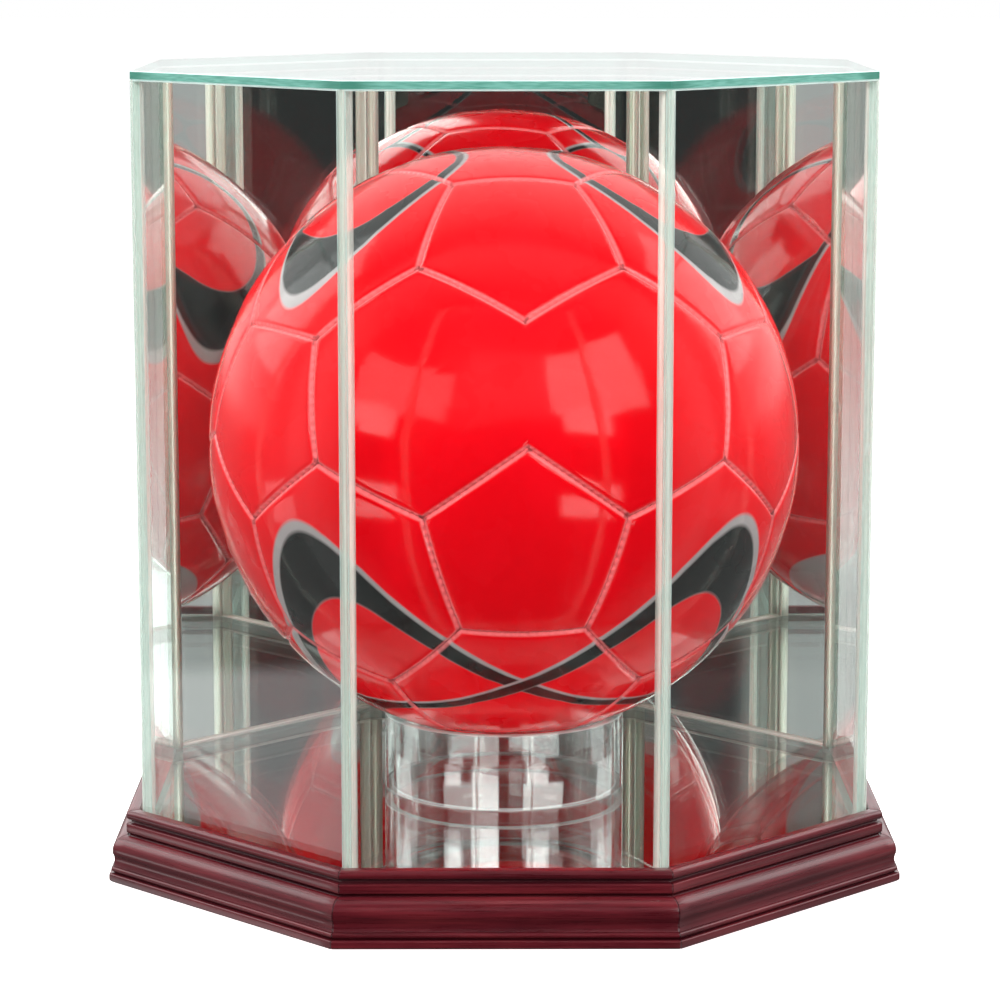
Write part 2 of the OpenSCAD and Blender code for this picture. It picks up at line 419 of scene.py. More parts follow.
# The bands on the ball. Each leaf shape is the overlap of two round caps, given as the bearing of each
# cap's middle (degrees round from the front, degrees up) and its radius in degrees, with the amount of
# rounding where their edges meet. Each band is a silver leaf, then a charcoal one, with a red heart.
# The whole set is turned this far round the upright axis.
BAND_TURN = math.radians(-4.3)
LOWER_BAND = (((-130.8, -43), 85, (38.5, -17.3), 90, 0.6),
              ((-137.7, -39), 90, (12.8, -21.8), 62.5, 0.6),
              ((-139.6, -37.4), 90, (0.8, -39.8), 43.3, 0.6))
UPPER_BAND = (((-113.6, 42.4), 48.3, (55.7, 31.8), 95, 0.34),
              ((-109, 45.6), 42.6, (55.7, 32), 95, 0.5),
              ((-98.5, 54.2), 30, (85.7, 59), 75, 0.5))
# How much of the gap between the first two leaves is silver
SILVER_PART = 0.6
# The lower bands stop underneath, at this cap's edge
LOWER_END = ((0, -60), 75)
# The upper ones stop just short of the top
UPPER_END = ((-60, 20), 62)
# The upper bands come again behind, mirrored in the plane square to this
BACK_FOLD = Vector((0, -0.953, 0.303))


def bearing(round_deg, up_deg):
    a, b = math.radians(round_deg), math.radians(up_deg)
    return Vector((math.cos(b) * math.sin(a), -math.cos(b) * math.cos(a), math.sin(b)))


def dot_node(tree, where, direction):
    return add(tree, "ShaderNodeVectorMath", {0: where, 1: tuple(direction)},
               operation="DOT_PRODUCT").outputs["Value"]


def cap_depth(tree, where, middle, reach):
    """How far inside a round cap each point is, in radians, about."""
    reach = math.radians(reach)
    inside = math_node(tree, "SUBTRACT", dot_node(tree, where, bearing(*middle)), math.cos(reach))
    return math_node(tree, "DIVIDE", inside, math.sin(reach))


def leaf(tree, where, first, first_reach, second, second_reach, rounding):
    """How far inside a leaf each point is, in radians, about."""
    first_depth = cap_depth(tree, where, first, first_reach)
    second_depth = cap_depth(tree, where, second, second_reach)
    return math_node(tree, "SMOOTH_MIN", first_depth, second_depth, rounding)


def fold_back(tree, where):
    """Mirrors the back of the ball onto the front."""
    behind = math_node(tree, "MINIMUM", dot_node(tree, where, BACK_FOLD), 0.0)
    shift = add(tree, "ShaderNodeVectorMath", {0: tuple(-2 * BACK_FOLD), "Scale": behind},
                operation="SCALE").outputs["Vector"]
    return add(tree, "ShaderNodeVectorMath", {0: where, 1: shift}, operation="ADD").outputs["Vector"]


def paint_band(tree, colour, where, shapes, end):
    """Paints one band: a silver leaf and a charcoal leaf, both left out over the red heart."""
    soft = 0.004
    silver_rim, charcoal_rim = 0.012, 0.02
    outer, middle, heart = [leaf(tree, where, *shape) for shape in shapes]
    outer = math_node(tree, "SMOOTH_MIN", outer, cap_depth(tree, where, *end), 0.3)
    # Each leaf keeps inside the one round it
    gap = math_node(tree, "SUBTRACT", middle, outer)
    middle = math_node(tree, "MULTIPLY_ADD", gap, SILVER_PART, outer)
    middle = math_node(tree, "MINIMUM", middle, math_node(tree, "SUBTRACT", outer, silver_rim))
    heart = math_node(tree, "MINIMUM", heart, math_node(tree, "SUBTRACT", middle, charcoal_rim))
    around = remap(tree, heart, -soft, soft, 1.0, 0.0, smooth=False)
    for depth, paint in ((outer, rgb(0.42, 0.39, 0.39)), (middle, rgb(0.02, 0.022, 0.021))):
        mask = math_node(tree, "MULTIPLY", remap(tree, depth, -soft, soft, smooth=False), around)
        colour = mix_colour(tree, mask, colour, paint)
    return colour


def band_colour(tree, place, red):
    """The four bands over the red: a lower and an upper one on each side."""
    unit = add(tree, "ShaderNodeVectorMath", {0: place}, operation="NORMALIZE").outputs["Vector"]
    turned = add(tree, "ShaderNodeVectorRotate", {"Vector": unit, "Angle": BAND_TURN},
                 rotation_type="Z_AXIS").outputs["Vector"]
    colour = red
    for side in (1, -1):
        lower = add(tree, "ShaderNodeVectorMath", {0: turned, 1: (side, 1, 1)},
                    operation="MULTIPLY").outputs["Vector"]
        colour = paint_band(tree, colour, lower, LOWER_BAND, LOWER_END)
        colour = paint_band(tree, colour, fold_back(tree, lower), UPPER_BAND, UPPER_END)
    return colour


# The length of one stitch
STITCH_MM = 3.2


def ball_leather():
    """Glossy red stitched leather with plain charcoal bands edged in silver grey."""
    mat = new_material("ball_leather")
    tree = mat.node_tree
    place = add(tree, "ShaderNodeTexCoord").outputs["Object"]
    mottle = noise_node(tree, place, 35.0, 3.0)
    red = ramp(tree, mottle, (0.3, rgb(0.86, 0.0008, 0.006)), (0.7, rgb(0.93, 0.0015, 0.009)))
    colour = band_colour(tree, place, red)
    seam = add(tree, "ShaderNodeAttribute", attribute_name="seam_mm").outputs["Fac"]
    along = add(tree, "ShaderNodeAttribute", attribute_name="along_mm").outputs["Fac"]
    wave = math_node(tree, "SINE", math_node(tree, "MULTIPLY", along, 2 * math.pi / STITCH_MM))
    near_seam = remap(tree, seam, 0.25, 1.3, 1.0, 0.0)
    stitch = math_node(tree, "MULTIPLY", wave, near_seam)
    # Painted highlight: the pulled edges of the panels are painted paler than the rest, and painted shade
    # darkens the needle line between them
    # Painted highlight, pale pink along each seam's shoulders
    seam_highlight = remap(tree, seam, 0.7, 1.7, 1.0, 0.0)
    colour = mix_colour(tree, math_node(tree, "MULTIPLY", seam_highlight, 0.7), colour, rgb(1.0, 0.26, 0.27))
    # Painted shade, darker along the needle line in each seam groove
    seam_shade = remap(tree, seam, 0.0, 0.35, 1.0, 0.0)
    colour = mix_colour(tree, math_node(tree, "MULTIPLY", seam_shade, 0.12), colour, rgb(0.2, 0.001, 0.004))
    grain = add(tree, "ShaderNodeTexVoronoi", {"Vector": place, "Scale": 900.0}).outputs["Distance"]
    rumple = noise_node(tree, place, 55.0, 2.0)
    normal = bump(tree, rumple, 0.35 * MM, 0.35)
    normal = bump(tree, grain, 0.02 * MM, 0.25, normal)
    normal = bump(tree, stitch, 0.25 * MM, 0.8, normal)
    body = add(tree, "ShaderNodeBsdfPrincipled", {
        "Base Color": colour, "Roughness": remap(tree, mottle, 0.3, 0.7, 0.24, 0.3),
        "Specular IOR Level": 0.06, "Normal": normal,
        "Coat Weight": 0.9, "Coat Roughness": 0.1}).outputs[0]
    return finish_material(mat, body)


GLASS = clear_glass("clear_glass", rgb(0.985, 0.995, 0.99))
PANE_EDGE = glass_edge("pane_edge", rgb(0.66, 0.76, 0.73), rgb(0.42, 0.56, 0.52), 0.65)
# The mirrors' edges are a whiter copy of the pane edge: painted light for the light off the silver
LIT_MIRROR_EDGE = glass_edge("lit_mirror_edge", rgb(0.97, 1.0, 0.93), rgb(0.88, 0.94, 0.86), 0.9)
TOP_EDGE = glass_edge("top_edge", rgb(0.2, 0.5, 0.42), rgb(0.08, 0.3, 0.23), 0.95, TOP_R / math.cos(HALF))
# The top plate's bevels are a near-white copy of its edge: a painted highlight
TOP_BEVEL_HIGHLIGHT = glass_edge("top_bevel_highlight", rgb(0.8, 0.98, 0.95), rgb(0.6, 0.86, 0.82), 0.9)
SILVER = silvering()
BACKING = backing_paint()
BEAD = clear_bead("clear_adhesive", 0.3, 0.6, 0.3)
# The mirror joints get a milkier copy of the same adhesive: painted light for the light that the silver
# throws through them
LIT_REAR_BEAD = clear_bead("lit_mirror_adhesive", 0.95, 1.0, 0.8)
CHERRY = cherry_wood()
ACRYLIC = acrylic()
ACRYLIC_RIM = glass_edge("acrylic_rim", rgb(0.88, 0.9, 0.9), rgb(0.7, 0.73, 0.73), 0.55)
LEATHER = ball_leather()
RUBBER = rubber("valve_rubber", rgb(0.012, 0.012, 0.012), 0.45)

# The finish of each CAD node that is kept as it is
CARRIED_OVER = {
    "deck_board": plywood(),
    "corner_v_nails": metal("nail_steel", rgb(0.3, 0.3, 0.31), rgb(0.5, 0.5, 0.52), 0.4),
    "deck_screws": metal("zinc_steel", rgb(0.5, 0.42, 0.22), rgb(0.72, 0.62, 0.36), 0.3),
    "felt_pads": felt(),
    "ball_bladder": rubber("bladder_rubber", rgb(0.02, 0.02, 0.02)),
}


# --- Glass -------------------------------------------------------------------------------------

def slab(name, outline, low, high, arris, back_slot=0, bevel_slot=1):
    """A flat plate in XY between low and high, with a narrow bevel along all its edges.

    Slot 0 is its faces and slot 1 its edges. back_slot is the slot of its lower face.
    """
    work = bmesh.new()
    ring = [work.verts.new((x, y, low)) for x, y in outline]
    floor = work.faces.new(ring)
    top = bmesh.ops.extrude_face_region(work, geom=[floor])
    moved = [v for v in top["geom"] if isinstance(v, bmesh.types.BMVert)]
    bmesh.ops.translate(work, verts=moved, vec=(0, 0, high - low))
    bmesh.ops.recalc_face_normals(work, faces=work.faces)
    work.normal_update()
    for face in work.faces:
        face.material_index = 0 if face.normal.z > 0.5 else back_slot if face.normal.z < -0.5 else 1
    made = bmesh.ops.bevel(work, geom=list(work.edges), offset=arris, segments=1, affect="EDGES")
    work.normal_update()
    for face in made["faces"]:
        face.material_index = bevel_slot if abs(face.normal.z) > 0.1 else 1
    mesh = bpy.data.meshes.new(name)
    work.to_mesh(mesh)
    work.free()
    return mesh


def octagon(apothem):
    reach = apothem / math.cos(HALF)
    return [(reach * math.cos(STEP * i + HALF), reach * math.sin(STEP * i + HALF)) for i in range(SIDES)]


ARRIS = 0.35 * MM
SILVER_T = 0.12 * MM
# The paint on the silver stops a little short of the glass all round, and is thinner than its room
PAINT_INSET = 0.4 * MM
PAINT_T = SILVER_T * 0.9
PAINT_ARRIS = 0.02 * MM


def pane_frame(i):
    """Turns a flat plate upright: its Z looks inward, and its lower face is the pane's back."""
    upright = Matrix(((0, 0, -1, 0), (1, 0, 0, 0), (0, -1, 0, 0), (0, 0, 0, 1)))
    return side_matrix(i) @ upright


def pane_outline(inset=0.0):
    """A pane's outline in its own plane, where heights run downwards."""
    side = PANE_W / 2 - inset
    top, bottom = -PANE_TOP + inset, -FLOOR_Z - inset
    return [(-side, top), (side, top), (side, bottom), (-side, bottom)]


def clear_panes():
    for i in GLASS_SIDES:
        node = "glass_" + SIDE_NAMES[i]
        mesh = slab(node, pane_outline(), -GLASS_OUT, -GLASS_IN, ARRIS)
        piece(new_object("pane_" + SIDE_NAMES[i], mesh, [GLASS, PANE_EDGE], pane_frame(i)),
              "cover", "clear_glass", node)


def mirror_panes():
    """Each mirror is a sheet of glass, with its silver and grey paint as a thin skin behind it."""
    for i in MIRROR_SIDES:
        node = "mirror_" + SIDE_NAMES[i]
        glass = slab(node, pane_outline(), -GLASS_OUT + SILVER_T, -GLASS_IN, ARRIS, back_slot=2)
        piece(new_object("mirror_pane_" + SIDE_NAMES[i], glass, [GLASS, LIT_MIRROR_EDGE, SILVER], pane_frame(i)),
              "cover", "mirror_glass", node)
        skin = slab("mirror_skin", pane_outline(PAINT_INSET), -GLASS_OUT, -GLASS_OUT + PAINT_T, PAINT_ARRIS)
        piece(new_object("mirror_paint_" + SIDE_NAMES[i], skin, [BACKING, BACKING], pane_frame(i)),
              "cover", "mirror_glass", node)


def glass_top():
    mesh = slab("glass_top", octagon(TOP_R), TOP_Z, CASE_H, ARRIS, bevel_slot=2)
    piece(new_object("top_plate", mesh, [GLASS, TOP_EDGE, TOP_BEVEL_HIGHLIGHT]), "cover", "clear_glass", "glass_top")


def floor_mirror():
    """The mirror on the deck, made as the mirror panes are."""
    floor_r = box_of("floor_mirror")[1].x
    low = deck_high.z
    mesh = slab("floor_mirror", octagon(floor_r), low + SILVER_T, FLOOR_Z, ARRIS, back_slot=2)
    piece(new_object("floor_plate", mesh, [GLASS, PANE_EDGE, SILVER]),
          "base", "mirror_glass", "floor_mirror")
    skin = slab("floor_skin", octagon(floor_r - PAINT_INSET), low, low + PAINT_T, PAINT_ARRIS)
    piece(new_object("floor_paint", skin, [BACKING, BACKING]), "base", "mirror_glass", "floor_mirror")


def corner_beads():
    """Adhesive in each upright joint: a V filled from outside and a hollow fillet inside."""
    corner_names = ("right_rear", "rear_right", "rear_left", "left_rear",
                    "left_front", "front_left", "front_right", "right_front")
    end = PANE_W / 2
    leg = 2.6 * MM
    sink = 0.35 * MM
    hollow = 0.75 * MM
    waver = 0.12 * MM
    rows = 60

    def corner_point(r, w):
        """A point on one pane: r from the axis, and w along the pane from its middle."""
        return Vector((r * math.cos(HALF) + w * math.sin(HALF), r * math.sin(HALF) - w * math.cos(HALF)))

    outer, inner = corner_point(GLASS_OUT, end), corner_point(GLASS_IN, end)
    tip = corner_point(GLASS_IN, end - leg)
    for i, name in enumerate(corner_names):
        verts = []
        for row in range(rows + 1):
            z = FLOOR_Z + (PANE_TOP - FLOOR_Z) * row / rows
            ease = waver * noise.noise(Vector((i * 7.3, 0, z * 60)))
            front = outer.x - sink - abs(ease)
            back = tip.x + hollow + ease
            section = [(outer.x, -outer.y), (front, -outer.y * 0.45), (front, outer.y * 0.45),
                       (outer.x, outer.y), (inner.x, inner.y), (tip.x, tip.y),
                       (back, tip.y * 0.4), (back, -tip.y * 0.4), (tip.x, -tip.y), (inner.x, -inner.y)]
            verts += [(x, y, z) for x, y in section]
        mesh = outward(mesh_from("bead", verts, loft_faces(len(section), rows + 1), smooth=(0,)))
        matrix = Matrix.Rotation(STEP * i + HALF, 4, "Z")
        # The rear joints take the milkier copy, which is painted light
        finish = LIT_REAR_BEAD if "rear" in name else BEAD
        piece(new_object("bead_" + name, mesh, [finish], matrix), "cover", "clear_adhesive",
              "corner_bead_" + name)


# --- Base --------------------------------------------------------------------------------------

def arc(x, z, r, start, end, steps=8):
    """Points along an arc, in degrees from the outward direction."""
    angles = [math.radians(start + (end - start) * k / steps) for k in range(steps + 1)]
    return [(x + r * math.cos(a), z + r * math.sin(a)) for a in angles]


def moulding_profile():
    """The moulding's section as (distance from the axis, height), with how much glaze and painted shade
    darken each point.
    """
    h = WOOD_H
    bead, groove = 0.066 * h, 0.04 * h
    fillet_top, fillet_end = 0.82 * h, 0.69 * h
    ovolo_z, ovolo_r = 0.45 * h, 0.2 * h
    face, cove_r = FOOT_R - 0.055 * h, 0.19 * h
    soft = 0.35 * MM
    parts = [
        ([(LIP_IN, h - soft), (LIP_IN + soft, h)], 0.1),
        (arc(LIP_OUT - bead, h - bead, bead, 90, -40, 12), 0),
        (arc(LIP_OUT - 1.2 * groove, fillet_top + 0.75 * groove, 0.6 * groove, 80, 260, 8), 1),
        (arc(LIP_OUT - soft, fillet_top - soft, soft, 90, 0, 3), 0),
        (arc(LIP_OUT - soft, fillet_end + soft, soft, 0, -90, 3), 0.2),
        (arc(LIP_OUT - 0.6 * groove, fillet_end - groove, 0.6 * groove, 110, 270, 8), 1),
        (arc(face - ovolo_r, ovolo_z, ovolo_r, 90, 0, 16), 0),
        (arc(face + 0.88 * cove_r, 0.31 * h, cove_r, 152, 208, 10), 0.3),
        (arc(face - 0.01 * h, 0.175 * h, 0.035 * h, 80, -80, 8), 0),
        ([(face - 0.02 * h, 0.115 * h)], 1),
        (arc(FOOT_R - 0.024 * h, 0.091 * h, 0.024 * h, 90, 0, 6), 0),
        ([(FOOT_R, 0.02 * h), (FOOT_R - 0.02 * h, 0)], 0.1),
        ([(LEDGE_IN + soft, 0), (LEDGE_IN, soft), (LEDGE_IN, LEDGE_Z - WOOD_Z),
          (LIP_IN, LEDGE_Z - WOOD_Z)], 0)]
    return [((x, z), glaze_and_shade) for points, glaze_and_shade in parts for x, z in points]


# Distance from the mitre, and how far the section shrinks there, which eases the mitre's edges
MITRE_STATIONS = ((0.0, 0.16 * MM), (0.12 * MM, 0.05 * MM), (0.35 * MM, 0.0))
MITRE_GAP = 0.06 * MM
# How much glaze and painted shade darken the eased mitre edges
EASED_GLAZE_AND_SHADE = 0.8
WOOD_SPANS = 24


def mitred_end(profile, end, shift):
    """Sections of one end, from its mitre inwards, as rows of (point, glaze). end is -1 or 1."""
    middle = Vector(((LEDGE_IN + FOOT_R) / 2, WOOD_H / 2))
    rows = []
    for back, shrink in MITRE_STATIONS:
        row = []
        for (r, z), glaze_and_shade in profile:
            inward = (middle - Vector((r, z))).normalized() * shrink
            pr, pz = r + inward.x, z + inward.y
            x = end * (pr * math.tan(HALF) - MITRE_GAP - back)
            row.append(((x + shift, -pr, pz + WOOD_Z), max(glaze_and_shade, EASED_GLAZE_AND_SHADE if shrink else 0)))
        rows.append(row)
    return rows


def sections_between(profile, left, right):
    """Whole sections at even steps between two rows."""
    rows = []
    for s in range(1, WOOD_SPANS):
        t = s / WOOD_SPANS
        rows.append([((a[0] + (b[0] - a[0]) * t, -r, z + WOOD_Z), glaze_and_shade)
                     for ((r, z), glaze_and_shade), (a, _), (b, _) in zip(profile, left, right)])
    return rows


def moulding(i):
    """One mitred length, modelled along X with its show face towards -Y."""
    profile = moulding_profile()
    # Modelled further along X each time, so that each length has its own grain
    shift = 0.37 * i
    left = mitred_end(profile, -1, shift)
    right = list(reversed(mitred_end(profile, 1, shift)))
    rows = left + sections_between(profile, left[-1], right[0]) + right
    verts = [point for row in rows for point, _ in row]
    mesh = outward(mesh_from("moulding", verts, loft_faces(len(profile), len(rows))))
    layer = mesh.attributes.new("glaze_and_shade", "FLOAT", "POINT")
    layer.data.foreach_set("value", [glaze_and_shade for row in rows for _, glaze_and_shade in row])
    mesh.shade_smooth()
    mesh.set_sharp_from_angle(angle=math.radians(38))
    matrix = Matrix.Rotation(STEP * i + math.pi / 2, 4, "Z") @ Matrix.Translation((-shift, 0, 0))
    piece(new_object("wood_" + SIDE_NAMES[i], mesh, [CHERRY], matrix), "base", "cherry_wood",
          "moulding_" + SIDE_NAMES[i])


def lathe(name, section, steps, slots):
    """Turns a closed section of (radius, z) points round Z. slots gives each section edge's material."""
    verts, faces, face_slots = [], [], []
    count = len(section)
    for s in range(steps):
        a = 2 * math.pi * s / steps
        verts += [(r * math.cos(a), r * math.sin(a), z) for r, z in section]
    for s in range(steps):
        for k in range(count):
            a, b = s * count + k, s * count + (k + 1) % count
            c, d = ((s + 1) % steps) * count + (k + 1) % count, ((s + 1) % steps) * count + k
            faces.append((a, d, c, b))
            face_slots.append(slots[k])
    mesh = outward(mesh_from(name, verts, faces, face_slots))
    mesh.shade_smooth()
    mesh.set_sharp_from_angle(angle=math.radians(40))
    return mesh


def riser_ring():
    """A length of clear tube with flame-polished, rounded rims."""
    inner = RING_R - RING_WALL
    soft = 0.5 * MM
    low, high = ring_low.z, ring_high.z
    rims = [arc(RING_R - soft, high - soft, soft, 0, 90, 4),
            arc(inner + soft, high - soft, soft, 90, 180, 4),
            arc(inner + soft, low + soft, soft, 180, 270, 4),
            arc(RING_R - soft, low + soft, soft, 270, 360, 4)]
    section = [point for rim in rims for point in rim]
    # Nine edges round each rim, then one up or down the wall
    slots = ([1] * 9 + [0]) * 2
    mesh = lathe("riser_ring", section, 160, slots)
    piece(new_object("clear_ring", mesh, [ACRYLIC, ACRYLIC_RIM]), "base", "clear_acrylic", "riser_ring")


# --- Football ----------------------------------------------------------------------------------

# How the ball was set down: its panels' turn from an icosahedron with corners at (0, 1, golden ratio)
BALL_TURN = Euler([math.radians(a) for a in (68.4, -1.7, 124.0)])
# Two pairs of hexagons are cut as one long panel each. This points at the middle of the front one.
LONG_PANEL = Vector((0.08, -0.93, 0.35))
SEAM_DEPTH = 1.5 * MM
SEAM_HALF = 2.6 * MM
# Each panel's middle stands this much prouder than its edges, up to this far from a seam
CROWN = 0.35 * MM
CROWN_REACH = 24 * MM


def ball_panels():
    """The 32 panels of a football as rings of unit vectors: 12 pentagons and 20 hexagons."""
    golden = (1 + math.sqrt(5)) / 2
    corners = []
    for a in (-1, 1):
        for b in (-golden, golden):
            corners += [Vector((0, a, b)), Vector((a, b, 0)), Vector((b, 0, a))]
    edge = 2.0
    near = {i: [j for j in range(12) if i != j and abs((corners[i] - corners[j]).length - edge) < 0.01]
            for i in range(12)}
    turn = BALL_TURN.to_matrix()

    def cut(i, j):
        return (turn @ (corners[i] * 2 + corners[j])).normalized()

    def around(centre, points):
        axis = centre.normalized()
        start = (points[0] - axis * points[0].dot(axis)).normalized()
        side = axis.cross(start)
        return sorted(points, key=lambda p: math.atan2(p.dot(side), p.dot(start)))

    panels = [around(turn @ corners[i], [cut(i, j) for j in near[i]]) for i in range(12)]
    for i in range(12):
        for j in near[i]:
            for k in near[i]:
                if i < j < k and k in near[j]:
                    centre = turn @ (corners[i] + corners[j] + corners[k])
                    cuts = [cut(a, b) for a in (i, j, k) for b in (i, j, k) if a != b]
                    panels.append(around(centre, cuts))
    return panels


def is_sewn(a, b):
    """False for the two edges that lie inside a long panel."""
    middle = (a + b).normalized()
    return abs(middle.dot(LONG_PANEL.normalized())) < math.cos(math.radians(9))


def seam_distance(points, seams):
    """How far each unit vector is from the nearest seam, and how far along it, both in metres."""
    best = np.full(len(points), 9.0)
    along = np.zeros(len(points))
    for a, b in seams:
        a, b = np.array(a), np.array(b)
        normal = np.cross(a, b)
        normal /= np.linalg.norm(normal)
        tangent = np.cross(normal, a)
        span = math.acos(float(np.clip(a @ b, -1, 1)))
        turn = np.arctan2(points @ tangent, points @ a)
        inside = (turn >= 0) & (turn <= span)
        off = np.abs(np.arcsin(np.clip(points @ normal, -1, 1)))
        to_end = np.minimum(np.arccos(np.clip(points @ a, -1, 1)), np.arccos(np.clip(points @ b, -1, 1)))
        distance = np.where(inside, off, to_end)
        closer = distance < best
        along = np.where(closer, turn, along)
        best = np.where(closer, distance, best)
    return best * BALL_R, along * BALL_R


def sewn_edges(panels):
    """Each sewn edge between two panels, once."""
    seams = {}
    for panel in panels:
        for a, b in zip(panel, panel[1:] + panel[:1]):
            if is_sewn(a, b):
                key = tuple(sorted(tuple(round(c, 4) for c in end) for end in (a, b)))
                seams[key] = (a, b)
    return list(seams.values())


# How many steps each panel edge is cut into, and how far in from it each row of points lies
EDGE_STEPS = 26
PANEL_ROWS = [d * MM for d in (0, 0.2, 0.5, 0.9, 1.4, 2.0, 2.8, 4, 6, 9.5, 14.5, 21)]


def panel_skin(panel, base):
    """One panel as unit vectors, in rows from its edge to its middle, and faces numbered from base."""
    centre = sum(panel, Vector()).normalized()
    apothem = BALL_R * centre.angle((panel[0] + panel[1]).normalized())
    points, faces = [], []
    for distance in PANEL_ROWS:
        keep = 1 - distance / apothem
        for a, b in zip(panel, panel[1:] + panel[:1]):
            for s in range(EDGE_STEPS):
                rim = a.lerp(b, s / EDGE_STEPS).normalized()
                points.append(centre.lerp(rim, keep).normalized())
    total = len(panel) * EDGE_STEPS
    for row in range(len(PANEL_ROWS) - 1):
        for s in range(total):
            n = (s + 1) % total
            low, high = base + row * total, base + (row + 1) * total
            faces.append((low + s, low + n, high + n, high + s))
    middle = base + len(points)
    points.append(centre)
    last = middle - total
    faces += [(last + s, last + (s + 1) % total, middle) for s in range(total)]
    return points, faces


def football():
    """The stitched cover: 32 panels in one skin that dips at each seam and is level inside a long panel."""
    panels = ball_panels()
    points, faces = [], []
    for panel in panels:
        more_points, more_faces = panel_skin(panel, len(points))
        points += more_points
        faces += more_faces
    unit = np.array([tuple(p) for p in points])
    distance, along = seam_distance(unit, sewn_edges(panels))
    lip = np.clip(1 - distance / SEAM_HALF, 0, 1)
    shoulder = SEAM_DEPTH * (1 - np.sqrt(1 - lip ** 2))
    fall = CROWN * (1 - np.clip(distance / CROWN_REACH, 0, 1)) ** 2
    verts = unit * (BALL_R - shoulder - fall)[:, None]
    mesh = mesh_from("football", verts.tolist(), faces, smooth=(0,))
    for name, values in (("seam_mm", distance / MM), ("along_mm", along / MM)):
        layer = mesh.attributes.new(name, "FLOAT", "POINT")
        layer.data.foreach_set("value", values.astype(np.float32))
    work = bmesh.new()
    work.from_mesh(mesh)
    bmesh.ops.remove_doubles(work, verts=work.verts, dist=0.02 * MM)
    bmesh.ops.recalc_face_normals(work, faces=work.faces)
    work.to_mesh(mesh)
    work.free()
    mesh.shade_smooth()
    piece(new_object("football", mesh, [LEATHER], Matrix.Translation(BALL_C)),
          "ball", "ball_leather", "ball_cover")


def valve():
    """A round rubber valve with a needle hole, level with the panel round it."""
    low, high = box_of("ball_valve")
    axis = ((low + high) / 2 - BALL_C).normalized()
    top = 0.15 * MM
    section = [(0.6 * MM, -3 * MM), (4 * MM, -3 * MM), (4 * MM, 0)]
    section += arc(3.4 * MM, top - 0.45 * MM, 0.45 * MM, 20, 100, 5)
    section += [(2.4 * MM, -0.25 * MM), (1.2 * MM, -0.2 * MM), (0.7 * MM, -0.6 * MM)]
    mesh = lathe("valve", section, 48, [0] * len(section))
    stand = BALL_C + axis * (BALL_R - CROWN)
    matrix = Matrix.Translation(stand) @ axis.to_track_quat("Z", "Y").to_matrix().to_4x4()
    piece(new_object("valve", mesh, [RUBBER], matrix), "ball", "valve_rubber", "ball_valve")


# --- Stage -------------------------------------------------------------------------------------

def pale_floor():
    """A white sweep that glows as well, so that hardly any shadow shows on it."""
    mat = new_material("pale_floor")
    tree = mat.node_tree
    cloud = noise_node(tree, coords(tree), 2.0, 3.0)
    body = add(tree, "ShaderNodeBsdfPrincipled", {
        "Base Color": ramp(tree, cloud, (0.3, rgb(0.86, 0.86, 0.86)), (0.7, rgb(0.9, 0.9, 0.9))),
        "Roughness": 0.8, "Specular IOR Level": 0.0,
        "Emission Color": rgb(1, 1, 1), "Emission Strength": 0.9}).outputs[0]
    return finish_material(mat, body)


def stage_floor():
    """A wide plain floor under the case."""
    half = 12
    mesh = mesh_from("floor", [(-half, -half, 0), (half, -half, 0), (half, half, 0), (-half, half, 0)],
                     [(0, 1, 2, 3)])
    obj = new_object("floor", mesh, [pale_floor()])
    # It is there for the camera only, so that it doesn't light the ball from beneath
    obj.visible_glossy = False
    obj.visible_diffuse = False


def area_light(name, size, location, target, radiance):
    """A soft box that looks at target, as bright as radiance says. Reflections show the room instead."""
    data = bpy.data.lights.new(name, "AREA")
    data.shape = "RECTANGLE"
    data.size, data.size_y = size
    data.energy = radiance * math.pi * size[0] * size[1]
    obj = bpy.data.objects.new(name, data)
    bpy.context.scene.collection.objects.link(obj)
    obj.location = location
    look = Vector(target) - Vector(location)
    obj.rotation_euler = look.to_track_quat("-Z", "Y").to_euler()
    obj.visible_glossy = False
    obj.visible_camera = False
    return obj


def window(tree, value, low, high, soft):
    """1 between low and high, fading to 0 over soft outside them."""
    rise = remap(tree, value, low - soft, low)
    fall = remap(tree, value, high, high + soft, 1.0, 0.0)
    return math_node(tree, "MULTIPLY", rise, fall)


def grey(value):
    return rgb(value, value, value)


# The soft boxes that reflections show: degrees round from the front, from and to, degrees up, from
# and to, and how bright
SOFT_BOXES = (
    (20, 58, 18, 40, 2.8), (-60, -26, 18, 32, 1.7),
    (24, 42, -18, -11, 3.6), (-58, -44, -18, -11, 3.6),
    (24, 42, 11, 18, 3.6), (-58, -44, 11, 18, 3.6),
    (104, 130, 14, 48, 2.2), (-130, -104, 14, 48, 2.2))
# One more, that only shows on what the mirrors show, such as the rim of the mirrored ball
MIRRORED_BOX = (-30, -7, 4, 36, 3.4)


def soft_box(tree, round_front, up, place, soft):
    """Where one soft box is seen. place is its four bearings, and soft how blurred its height is."""
    low, high, bottom, top = [math.radians(a) for a in place]
    return math_node(tree, "MULTIPLY", window(tree, round_front, low, high, 0.05),
                     window(tree, up, bottom, top, soft))


